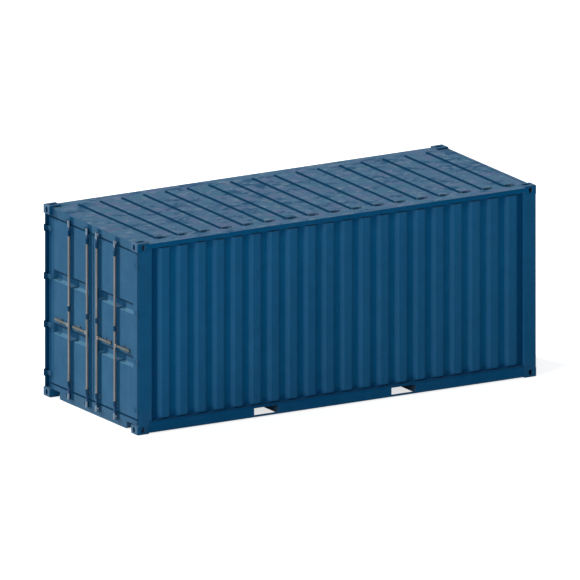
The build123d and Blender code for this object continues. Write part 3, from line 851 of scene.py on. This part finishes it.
@dataclass(frozen=True)
class Piece:
    """What an added piece is called, the body that it rides on, its finish and its slot in the record."""

    name: str
    body: str
    finish: Finish
    slot: str

    def hang(self, thing: bpy.types.Object) -> None:
        """Let the made object ride on the body and report it.

        Args:
            thing: The object.
        """
        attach(thing, self.body)
        LOG.info("%s rides on %s with %d faces", thing.name, self.body, len(thing.data.polygons))


@dataclass(frozen=True)
class Bead:
    """The sizes of a round bead: each length of it is a step long, and a ripple makes it uneven."""

    radius: float
    step: float = 0.012
    ripple: float = 0.0016
    sides: int = 6


@dataclass(frozen=True)
class Head:
    """The sizes of a bolt's, rivet's or screw's head."""

    radius: float
    height: float
    washer: float
    sides: int


class Recipe:
    """A Geometry Nodes tree with named inputs, which turns a sketch mesh into a finished one."""

    def __init__(self, name: str) -> None:
        """Start an empty tree.

        Args:
            name: The tree's name.
        """
        self.tree = bpy.data.node_groups.new(name, "GeometryNodeTree")
        self.tree.is_modifier = True
        self.inlet = self.tree.nodes.new("NodeGroupInput")
        self.outlet = self.tree.nodes.new("NodeGroupOutput")
        for way in ("INPUT", "OUTPUT"):
            self.tree.interface.new_socket("Geometry", in_out=way, socket_type="NodeSocketGeometry")

    def size(self, name: str, kind: str = "NodeSocketFloat") -> bpy.types.NodeSocket:
        """A named input of the tree."""
        self.tree.interface.new_socket(name, in_out="INPUT", socket_type=kind)
        return self.inlet.outputs[name]

    def add(self, kind: str, settings: dict, inputs: dict) -> bpy.types.NodeSocket:
        """Add one node.

        Args:
            kind: The node's type.
            settings: Its own settings.
            inputs: A value, a socket or a list of sockets by input name or number.

        Returns:
            The node's first output.
        """
        node = self.tree.nodes.new(kind)
        for name, value in settings.items():
            setattr(node, name, value)
        for name, value in inputs.items():
            sources = value if isinstance(value, list) else [value]
            for source in sources:
                if isinstance(source, bpy.types.NodeSocket):
                    self.tree.links.new(source, node.inputs[name])
                else:
                    node.inputs[name].default_value = source
        return node.outputs[0]

    def reckon(self, operation: str, first: bpy.types.NodeSocket | float,
               second: bpy.types.NodeSocket | float) -> bpy.types.NodeSocket:
        """One Math node's result."""
        return self.add("ShaderNodeMath", {"operation": operation}, {0: first, 1: second})

    def close(self, geometry: bpy.types.NodeSocket) -> None:
        """Realize, set the material and lead the result out.

        Args:
            geometry: The last geometry.
        """
        whole = self.add("GeometryNodeRealizeInstances", {}, {"Geometry": geometry})
        finish = self.size("Finish", "NodeSocketMaterial")
        dressed = self.add("GeometryNodeSetMaterial", {}, {"Geometry": whole, "Material": finish})
        self.tree.links.new(dressed, self.outlet.inputs[0])

    def make(self, piece: Piece, sketch: bpy.types.Mesh, sizes: Bead | Head) -> None:
        """Run the tree on a sketch mesh, and hang the plain mesh that comes out.

        Args:
            piece: What is made.
            sketch: Points or lines that the tree works on.
            sizes: Values of the tree's inputs of the same names.
        """
        values = {name.capitalize(): value for name, value in asdict(sizes).items()}
        values["Finish"] = piece.finish.material
        holder = put(sketch.name, sketch)
        modifier = holder.modifiers.new("recipe", "NODES")
        modifier.node_group = self.tree
        for item in self.tree.interface.items_tree:
            if item.in_out == "INPUT" and item.name in values:
                modifier[item.identifier] = values[item.name]
        graph = bpy.context.evaluated_depsgraph_get()
        mesh = bpy.data.meshes.new_from_object(holder.evaluated_get(graph), depsgraph=graph)
        mesh.name = piece.name
        bpy.data.objects.remove(holder)
        piece.hang(put(piece.name, mesh))


class Beads:
    """Round beads along lines, for welds and seal lips."""

    def __init__(self) -> None:
        """Build the tree: lines are resampled, swept with a round section and made uneven."""
        recipe = Recipe("bead_along_lines")
        radius = recipe.size("Radius")
        step = recipe.size("Step")
        ripple = recipe.size("Ripple")
        sides = recipe.size("Sides", "NodeSocketInt")
        curve = recipe.add("GeometryNodeMeshToCurve", {}, {"Mesh": recipe.inlet.outputs["Geometry"]})
        fine = recipe.add("GeometryNodeResampleCurve", {"mode": "LENGTH"}, {"Curve": curve, "Length": step})
        inputs = {"Resolution": sides, "Radius": radius}
        section = recipe.add("GeometryNodeCurvePrimitiveCircle", {}, inputs)
        inputs = {"Curve": fine, "Profile Curve": section, "Fill Caps": True}
        tube = recipe.add("GeometryNodeCurveToMesh", {}, inputs)
        inputs = {"Vector": recipe.add("GeometryNodeInputPosition", {}, {}), "Scale": 95.0, "Detail": 1.0}
        uneven = recipe.add("ShaderNodeTexNoise", {}, inputs)
        swell = recipe.reckon("MULTIPLY", recipe.reckon("SUBTRACT", uneven, 0.5), ripple)
        inputs = {0: recipe.add("GeometryNodeInputNormal", {}, {}), "Scale": swell}
        shift = recipe.add("ShaderNodeVectorMath", {"operation": "SCALE"}, inputs)
        rough = recipe.add("GeometryNodeSetPosition", {}, {"Geometry": tube, "Offset": shift})
        recipe.close(recipe.add("GeometryNodeSetShadeSmooth", {}, {"Geometry": rough}))
        self.recipe = recipe

    def lay(self, piece: Piece, lines: list[Line], bead: Bead) -> None:
        """Lay beads along lines.

        Args:
            piece: What they make up.
            lines: The lines' points; a line that ends where it starts is closed.
            bead: The sizes.
        """
        points: list[Point] = []
        runs: list[tuple[int, int]] = []
        for line in lines:
            start = len(points)
            closed = line[0] == line[-1]
            points += line[:-1] if closed else line
            runs += pairwise(range(start, len(points)))
            if closed:
                runs.append((len(points) - 1, start))
        sketch = bpy.data.meshes.new(piece.name + "_lines")
        sketch.from_pydata(points, runs, [])
        self.recipe.make(piece, sketch, bead)


class Fasteners:
    """Heads of bolts, rivets and screws, set on points with a direction each."""

    def __init__(self) -> None:
        """Build the tree: a washer and two tapering stages are set on every point."""
        recipe = Recipe("heads_on_points")
        radius = recipe.size("Radius")
        height = recipe.size("Height")
        washer = recipe.size("Washer")
        sides = recipe.size("Sides", "NodeSocketInt")
        inputs = {"Vertices": 16, "Radius": washer, "Depth": recipe.reckon("MULTIPLY", height, 0.24)}
        stages = [(recipe.add("GeometryNodeMeshCylinder", {}, inputs), 0.12)]
        for wide, narrow, tall, level in ((1.0, 0.90, 0.50, 0.22), (0.90, 0.55, 0.28, 0.72)):
            inputs = {"Vertices": sides, "Radius Top": recipe.reckon("MULTIPLY", radius, narrow),
                      "Radius Bottom": recipe.reckon("MULTIPLY", radius, wide),
                      "Depth": recipe.reckon("MULTIPLY", height, tall)}
            stages.append((recipe.add("GeometryNodeMeshCone", {}, inputs), level))
        parts = []
        for stage, level in stages:
            lift = recipe.add("ShaderNodeCombineXYZ", {}, {"Z": recipe.reckon("MULTIPLY", height, level)})
            parts.append(recipe.add("GeometryNodeTransform", {}, {"Geometry": stage, "Translation": lift}))
        facing = recipe.add("GeometryNodeInputNamedAttribute", {"data_type": "FLOAT_VECTOR"},
                            {"Name": "facing"})
        turn = recipe.add("FunctionNodeAlignRotationToVector", {"axis": "Z"}, {"Vector": facing})
        inputs = {"Points": recipe.inlet.outputs["Geometry"],
                  "Instance": recipe.add("GeometryNodeJoinGeometry", {}, {0: parts}), "Rotation": turn}
        recipe.close(recipe.add("GeometryNodeInstanceOnPoints", {}, inputs))
        self.recipe = recipe

    def drive(self, piece: Piece, spots: list[Spot], head: Head) -> None:
        """Set heads on points.

        Args:
            piece: What they make up.
            spots: Each head's place and the direction that it points.
            head: The sizes.
        """
        sketch = bpy.data.meshes.new(piece.name + "_points")
        sketch.from_pydata([place for place, _ in spots], [], [])
        facing = sketch.attributes.new("facing", "FLOAT_VECTOR", "POINT")
        facing.data.foreach_set("vector", [part for _, way in spots for part in way])
        self.recipe.make(piece, sketch, head)


@dataclass
class Shell:
    """Side walls, front wall and roof, with the welds around them."""

    wall_bead: Bead = Bead(0.0032)
    roof_bead: Bead = Bead(0.0025)
    inset: float = 0.0016
    front_inset: float = 0.0020
    roof_inset: float = 0.0008

    def dress(self) -> None:
        """Give the sheets their paint."""
        Finish.WALLS.dress(*(side.own("side_wall") for side in Side))
        Finish.FRONT_WALL.dress("front_wall")
        Finish.ROOF.dress("roof_panel")

    def wall_lines(self) -> list[Line]:
        """The weld lines around the side walls and the front wall.

        Returns:
            A closed line for each wall.
        """
        lines: list[Line] = []
        for side in Side:
            low, high = side.box("side_wall")
            y = side.value * (side.reaches("side_wall")[0] + self.inset)
            lines.append(upright((low.x, y), (high.x, y), low.z, high.z))
        low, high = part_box("front_wall")
        x = low.x + self.front_inset
        return lines + [upright((x, low.y), (x, high.y), low.z, high.z)]

    def roof_lines(self) -> list[Line]:
        """The weld lines where the roof lies on the side rails and the front rail.

        Returns:
            A line for each rail.
        """
        low, high = Side.LEFT.box("top_side_rail")
        reach = high.y - self.roof_inset
        lines = [[(x, side.value * reach, high.z) for x in (low.x, high.x)] for side in Side]
        low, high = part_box("front_top_rail")
        x = high.x - self.roof_inset
        return lines + [[(x, y, high.z) for y in (low.y, high.y)]]

    def build(self, beads: Beads) -> None:
        """Dress the shell and lay its welds.

        Args:
            beads: What lays them.
        """
        self.dress()
        walls = Piece("wall_welds", ROOT_BODY, Finish.WELDS, "wall_paint")
        roof = Piece("roof_welds", ROOT_BODY, Finish.WELDS, "rail_paint")
        beads.lay(walls, self.wall_lines(), self.wall_bead)
        beads.lay(roof, self.roof_lines(), self.roof_bead)


@dataclass
class Frame:
    """Castings, posts, rails, sill, header and keepers, with the welds where they meet."""

    bead: Bead = Bead(0.0028)
    keeper_bead: Bead = Bead(0.0026)
    proud: float = 0.0006
    casting_length: float = 0.178
    casting_height: float = 0.118
    keeper_steps: tuple[float, float] = (0.028, 0.076)

    def dress(self) -> None:
        """Give the frame its paint."""
        Finish.CASTINGS.dress("bottom_castings", "top_castings")
        Finish.RAILS.dress("front_bottom_rail", "front_top_rail")
        Finish.DOOR_FRAME.dress("door_sill", "door_header")
        Finish.KEEPERS.dress("sill_keepers", "header_keepers")
        for side in Side:
            Finish.POSTS.dress(side.own("door_post"), side.own("front_post"))
            Finish.RAILS.dress(side.own("bottom_side_rail"), side.own("top_side_rail"))
            Finish.HINGES.dress(side.own("hinge_lugs"))

    def post_lines(self) -> list[Line]:
        """Welds between the posts and the castings, on the long sides and at the front end.

        Returns:
            Three lines at the foot and three at the head of each side.
        """
        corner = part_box("bottom_castings")[1]
        casting = corner.x - self.casting_length
        lines: list[Line] = []
        for side, z in product(Side, (corner.z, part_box("top_castings")[0].z)):
            start = side.box("door_post")[0].x
            end = side.box("front_post")[1].x
            y = side.value * (side.reaches("door_post")[1] - self.proud)
            inner = side.value * side.reaches("front_post")[0]
            x = end - self.proud
            lines.append([(start, y, z), (-casting, y, z)])
            lines.append([(casting, y, z), (end, y, z)])
            lines.append([(x, inner, z), (x, y, z)])
        return lines

    def rail_lines(self) -> list[Line]:
        """Upright welds between the side rails and the castings.

        Returns:
            A line at each end of each rail.
        """
        lines: list[Line] = []
        limits = {"bottom_side_rail": self.casting_height, "top_side_rail": math.inf}
        for side, (node, limit) in product(Side, limits.items()):
            low, high = side.box(node)
            y = side.value * (side.reaches(node)[1] - self.proud)
            lines += [[(x, y, low.z), (x, y, min(high.z, limit))] for x in (low.x, high.x)]
        return lines

    def keeper_lines(self) -> list[Line]:
        """Welds around the keepers' bases.

        Returns:
            A closed line for each keeper.
        """
        lines: list[Line] = []
        for node, rod, side in product(("sill_keepers", "header_keepers"), Rod, Side):
            low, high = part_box(node)
            start, end = ((high.x, side.value * (rod.value + step)) for step in self.keeper_steps)
            lines.append(upright(start, end, low.z, high.z))
        return lines

    def build(self, beads: Beads) -> None:
        """Dress the frame and lay its welds.

        Args:
            beads: What lays them.
        """
        self.dress()
        posts = Piece("frame_welds", ROOT_BODY, Finish.WELDS, "post_paint")
        keepers = Piece("keeper_welds", ROOT_BODY, Finish.WELDS, "door_frame_paint")
        beads.lay(posts, self.post_lines() + self.rail_lines(), self.bead)
        beads.lay(keepers, self.keeper_lines(), self.keeper_bead)


@dataclass
class Underbody:
    """Floor boards, cross members and fork pockets, with the floor screws."""

    screw: Head = Head(0.0055, 0.0016, 0.0058, 12)
    across: int = 13
    margin: float = 0.075
    flange_middle: float = 0.022
    sunk: float = 0.0004

    def dress(self) -> None:
        """Give the floor its wood and the steel below it its paint."""
        Finish.FLOOR.dress("floor_boards")
        Finish.UNDERFRAME.dress("cross_members", "fork_pockets")

    def screw_spots(self) -> list[Spot]:
        """A row of screws over each cross member.

        Returns:
            Each screw's place and direction.
        """
        low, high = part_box("floor_boards")
        edges = sorted({round(corner.co.x, 4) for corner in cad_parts["cross_members"].data.vertices})
        width = high.y - low.y - 2 * self.margin
        spots: list[Spot] = []
        # A cross member is an open channel, whose edges lie at three places along X.
        for x, index in product(edges[::3], range(self.across)):
            y = low.y + self.margin + index / (self.across - 1) * width
            spots.append(((x + self.flange_middle, y, high.z - self.sunk), UPWARDS))
        return spots

    def build(self, fasteners: Fasteners) -> None:
        """Dress the underbody and drive the floor screws.

        Args:
            fasteners: What sets them.
        """
        self.dress()
        screws = Piece("floor_screws", ROOT_BODY, Finish.BOLTS, "floor_plywood")
        fasteners.drive(screws, self.screw_spots(), self.screw)


@dataclass
class Door:
    """One leaf with its hinge blades, rod guides, handle rests and seal."""

    side: Side
    bolt: Head = Head(0.0085, 0.0045, 0.0105, 14)
    rivet: Head = Head(0.0042, 0.0020, 0.0050, 10)
    lip: Bead = Bead(0.0022, step=0.05, ripple=0.0, sides=8)
    weld: Bead = Bead(0.0030)
    rivet_pitch: float = 0.15
    rivet_depth: float = 0.0024
    guide_bolts: tuple[float, float] = (-0.044, 0.044)
    guide_rises: tuple[float, float] = (-0.022, 0.022)
    rest_bolts: tuple[float, float] = (0.226, 0.342)
    blade_bolts: tuple[float, float] = (1.090, 1.136)
    blade_rises: tuple[float, float] = (-0.015, 0.015)
    strip_insets: tuple[float, float] = (0.012, 0.030)
    strip_depths: tuple[float, float] = (-0.0004, 0.0026)
    lip_inset: float = -0.0025
    weld_inset: float = 0.1002

    def piece(self, name: str, finish: Finish, slot: str) -> Piece:
        """A piece that rides on this leaf."""
        return Piece(self.side.own(name), self.side.own("door"), finish, slot)

    def dress(self) -> None:
        """Give the leaf and what hangs on it their finishes."""
        finishes = {"door_leaf": Finish.DOORS, "door_gasket": Finish.SEALS, "hinge_blades": Finish.HINGES,
                    "rod_guides": Finish.GUIDES, "handle_rests": Finish.RESTS}
        for node, finish in finishes.items():
            finish.dress(self.side.own(node))

    def bolt_spots(self) -> list[Spot]:
        """Bolts in the guides' feet, the handle rests and the hinge blades.

        Returns:
            Each bolt's place and direction.
        """
        places: list[Point] = []
        for rod in Rod:
            for level, step, rise in product(GUIDE_LEVELS, self.guide_bolts, self.guide_rises):
                places.append((GUIDE_FACE_X, rod.value + step, level + rise))
            places += [(GUIDE_FACE_X, rod.value + step, REST_LEVEL) for step in self.rest_bolts]
        for level, reach, rise in product(HINGE_LEVELS, self.blade_bolts, self.blade_rises):
            places.append((BLADE_FACE_X, reach, level + rise))
        return [((x, self.side.value * reach, z), DOORWARDS) for x, reach, z in places]

    def rim(self, x: float, inset: float) -> Line:
        """A closed line around the leaf.

        Args:
            x: Where it lies along X.
            inset: How far inside the leaf's edge it lies.

        Returns:
            The line.
        """
        low, high = self.side.box("door_leaf")
        near, far = self.side.reaches("door_leaf")
        start = (x, self.side.value * (near + inset))
        end = (x, self.side.value * (far - inset))
        return upright(start, end, low.z + inset, high.z - inset)

    def seal_strip(self, back: float) -> None:
        """A flat strip that clamps the seal to the back of the leaf.

        Args:
            back: Where the seal's back lies along X.
        """
        points = [corner for depth, inset in product(self.strip_depths, self.strip_insets)
                  for corner in self.rim(back + depth, inset)[:4]]
        faces = []
        for index in range(4):
            after = (index + 1) % 4
            faces += [(8 + index, 8 + after, 12 + after, 12 + index), (index, 4 + index, 4 + after, after),
                      (index, after, 8 + after, 8 + index), (4 + index, 12 + index, 12 + after, 4 + after)]
        piece = self.piece("seal_strip", Finish.GUIDES, "guide_paint")
        thing = plate(piece.name, points, faces, piece.finish.material)
        if self.side is Side.RIGHT:
            thing.data.flip_normals()
        piece.hang(thing)

    def rivet_spots(self, back: float) -> list[Spot]:
        """Rivets along the seal strip.

        Args:
            back: Where the seal's back lies along X.

        Returns:
            Each rivet's place and direction.
        """
        spots: list[Spot] = []
        for start, end in pairwise(self.rim(back + self.rivet_depth, sum(self.strip_insets) / 2)):
            run = Vector(end) - Vector(start)
            count = max(2, round(run.length / self.rivet_pitch))
            for index in range(count):
                spots.append((tuple(Vector(start) + run * ((index + 0.5) / count)), FRONTWARDS))
        return spots

    def build(self, beads: Beads, fasteners: Fasteners) -> None:
        """Dress the leaf and add its small parts.

        Args:
            beads: What lays its welds and the seal's lip.
            fasteners: What sets its bolts and rivets.
        """
        self.dress()
        front, back = (corner.x for corner in self.side.box("door_gasket"))
        bolts = self.piece("door_bolts", Finish.BOLTS, "guide_paint")
        rivets = self.piece("seal_rivets", Finish.BOLTS, "guide_paint")
        lip = self.piece("seal_lip", Finish.SEALS, "seal_rubber")
        welds = self.piece("leaf_welds", Finish.WELDS, "door_paint")
        fasteners.drive(bolts, self.bolt_spots(), self.bolt)
        self.seal_strip(back)
        fasteners.drive(rivets, self.rivet_spots(back), self.rivet)
        beads.lay(lip, [self.rim(front, self.lip_inset)], self.lip)
        beads.lay(welds, [self.rim(TROUGH_FLOOR_X, self.weld_inset)], self.weld)


@dataclass
class LockRod:
    """One lock rod and its handle, with the rod's collars, pin heads and the welds on its cams."""

    side: Side
    rod: Rod
    weld: Bead = Bead(0.0030, step=0.006)
    pin: Head = Head(0.0075, 0.0030, 0.0085, 12)
    bore: float = 0.0148
    collar: float = 0.0190
    collar_half: float = 0.0070
    chamfer: tuple[float, float] = (0.0012, 0.0015)
    collar_steps: tuple[float, float] = (-0.0445, 0.0445)
    facets: int = 28
    weld_ring: float = 0.0158
    pin_step: float = 0.037
    hub_half: float = 0.0118

    @property
    def stem(self) -> str:
        """What the names of the rod's nodes, body and pieces begin with."""
        return self.side.own(self.rod.name.lower())

    @property
    def y(self) -> float:
        """Where the rod stands along Y."""
        return self.side.value * self.rod.value

    def piece(self, name: str, finish: Finish) -> Piece:
        """A piece that rides on this rod."""
        return Piece(f"{self.stem}_{name}", f"{self.stem}_rod", finish, "rod_zinc")

    def collars(self) -> None:
        """Lathed stop rings above and below each guide."""
        rim = self.collar - self.chamfer[0]
        edge = self.collar_half - self.chamfer[1]
        profile = ((self.bore, -self.collar_half), (rim, -self.collar_half), (self.collar, -edge),
                   (self.collar, edge), (rim, self.collar_half), (self.bore, self.collar_half))
        size = len(profile)
        points: Line = []
        faces: list[tuple[int, ...]] = []
        for guide, step in product(GUIDE_LEVELS, self.collar_steps):
            start = len(points)
            circles = [ring((ROD_X, self.y, guide + step + z), radius, self.facets) for radius, z in profile]
            points += [point for spoke in zip(*circles) for point in spoke]
            for turn, index in product(range(self.facets), range(size)):
                near = start + turn * size
                far = start + (turn + 1) % self.facets * size
                after = (index + 1) % size
                faces.append((near + index, far + index, far + after, near + after))
        piece = self.piece("rod_collars", Finish.RODS)
        thing = plate(piece.name, points, faces, piece.finish.material)
        thing.data.shade_smooth()
        piece.hang(thing)

    def build(self, beads: Beads, fasteners: Fasteners) -> None:
        """Dress the rod and its handle, and add the small parts.

        Args:
            beads: What lays the welds.
            fasteners: What sets the pin heads.
        """
        Finish.RODS.dress(f"{self.stem}_lock_rod")
        Finish.HANDLES.dress(f"{self.stem}_handle")
        self.collars()
        rings = [ring((ROD_X, self.y, level), self.weld_ring, 24) for level in CAM_LEVELS]
        beads.lay(self.piece("rod_welds", Finish.WELDS), [line + line[:1] for line in rings], self.weld)
        pin = self.side.value * (self.rod.value + self.pin_step)
        spots = [((ROD_X - self.hub_half, pin, HUB_PIN_LEVEL), DOORWARDS),
                 ((ROD_X + self.hub_half, pin, HUB_PIN_LEVEL), FRONTWARDS)]
        fasteners.drive(self.piece("hub_pin_heads", Finish.BOLTS), spots, self.pin)


@dataclass(frozen=True)
class Lamp:
    """A distant soft light: its direction from the object, its angle in degrees, and its strength."""

    name: str
    towards: Point
    spread: float
    strength: float


@dataclass
class Studio:
    """Camera, floor and soft lights."""

    azimuth: float = -30.38
    elevation: float = 14.75
    view_width: float = 7.592
    target: Point = (0.002, -0.001, 1.294)
    camera_distance: float = 25.0
    lamp_distance: float = 12.0
    floor_radius: float = 60.0
    floor_level: float = -0.001
    floor_glow: float = 0.72
    soft_light: float = 0.35
    lamps: tuple[Lamp, ...] = (Lamp("key", (-0.36, 0.95, 0.52), 8.0, 3.8),
                               Lamp("fill", (-0.93, -0.30, 0.30), 25.0, 1.30))

    def aim(self, name: str, data: bpy.types.ID, away: Vector, distance: float) -> bpy.types.Object:
        """Put a camera or a light in the scene, so that it looks at the target.

        Args:
            name: The object's name.
            data: The camera or light.
            away: The direction from the target to it.
            distance: How far off it stands.

        Returns:
            The object.
        """
        thing = put(name, data)
        thing.location = Vector(self.target) + away * distance
        thing.rotation_euler = away.to_track_quat("Z", "Y").to_euler()
        return thing

    def camera(self) -> None:
        """An orthographic camera at the photograph's angle."""
        data = bpy.data.cameras.new("camera")
        data.type = "ORTHO"
        data.ortho_scale = self.view_width
        data.clip_end = 200.0
        turn = math.radians(self.azimuth)
        rise = math.radians(self.elevation)
        away = Vector((math.sin(turn) * math.cos(rise), -math.cos(turn) * math.cos(rise), math.sin(rise)))
        bpy.context.scene.camera = self.aim("camera", data, away, self.camera_distance)

    def floor(self) -> None:
        """A pale round floor that stays white beside the object's shadow."""
        sheet = Sheet(bpy.data.materials.new("studio_floor"))
        glow = sheet.add("ShaderNodeEmission", {}, {"Strength": sheet.seen_plainly * self.floor_glow})
        matt = sheet.add("ShaderNodeBsdfDiffuse", {}, {"Color": (0.86, 0.86, 0.86)})
        sheet.close(sheet.add("ShaderNodeAddShader", {}, {0: matt, 1: glow}))
        points = ring((0.0, 0.0, self.floor_level), self.floor_radius, 96)
        plate("studio_floor", points, [tuple(range(96))], sheet.holder)

    def world(self) -> None:
        """Even soft light from all around, plain white where the surroundings are seen."""
        sheet = Sheet(bpy.data.worlds.new("studio"))
        inputs = {"Value": sheet.seen_plainly, "To Min": self.soft_light}
        level = sheet.add("ShaderNodeMapRange", {}, inputs)
        glow = sheet.add("ShaderNodeBackground", {}, {"Color": (1.0, 1.0, 1.0), "Strength": level})
        sheet.close(glow, "World")
        bpy.context.scene.world = sheet.holder

    def light(self, lamp: Lamp) -> None:
        """Hang one lamp.

        Args:
            lamp: The lamp.
        """
        data = bpy.data.lights.new(lamp.name, "SUN")
        data.angle = math.radians(lamp.spread)
        data.energy = lamp.strength
        self.aim(lamp.name, data, Vector(lamp.towards).normalized(), self.lamp_distance)

    def build(self) -> None:
        """Set up the whole studio."""
        self.camera()
        self.floor()
        self.world()
        for lamp in self.lamps:
            self.light(lamp)
        bpy.context.scene.view_settings.view_transform = "Standard"


def main() -> None:
    """Dress the container and set up the studio."""
    logging.basicConfig(level=logging.INFO, format="%(name)s: %(message)s")
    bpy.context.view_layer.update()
    beads = Beads()
    fasteners = Fasteners()
    Shell().build(beads)
    Frame().build(beads)
    Underbody().build(fasteners)
    for side in Side:
        Door(side).build(beads, fasteners)
        for rod in Rod:
            LockRod(side, rod).build(beads, fasteners)
    Studio().build()


if __name__ == "__main__":
    main()
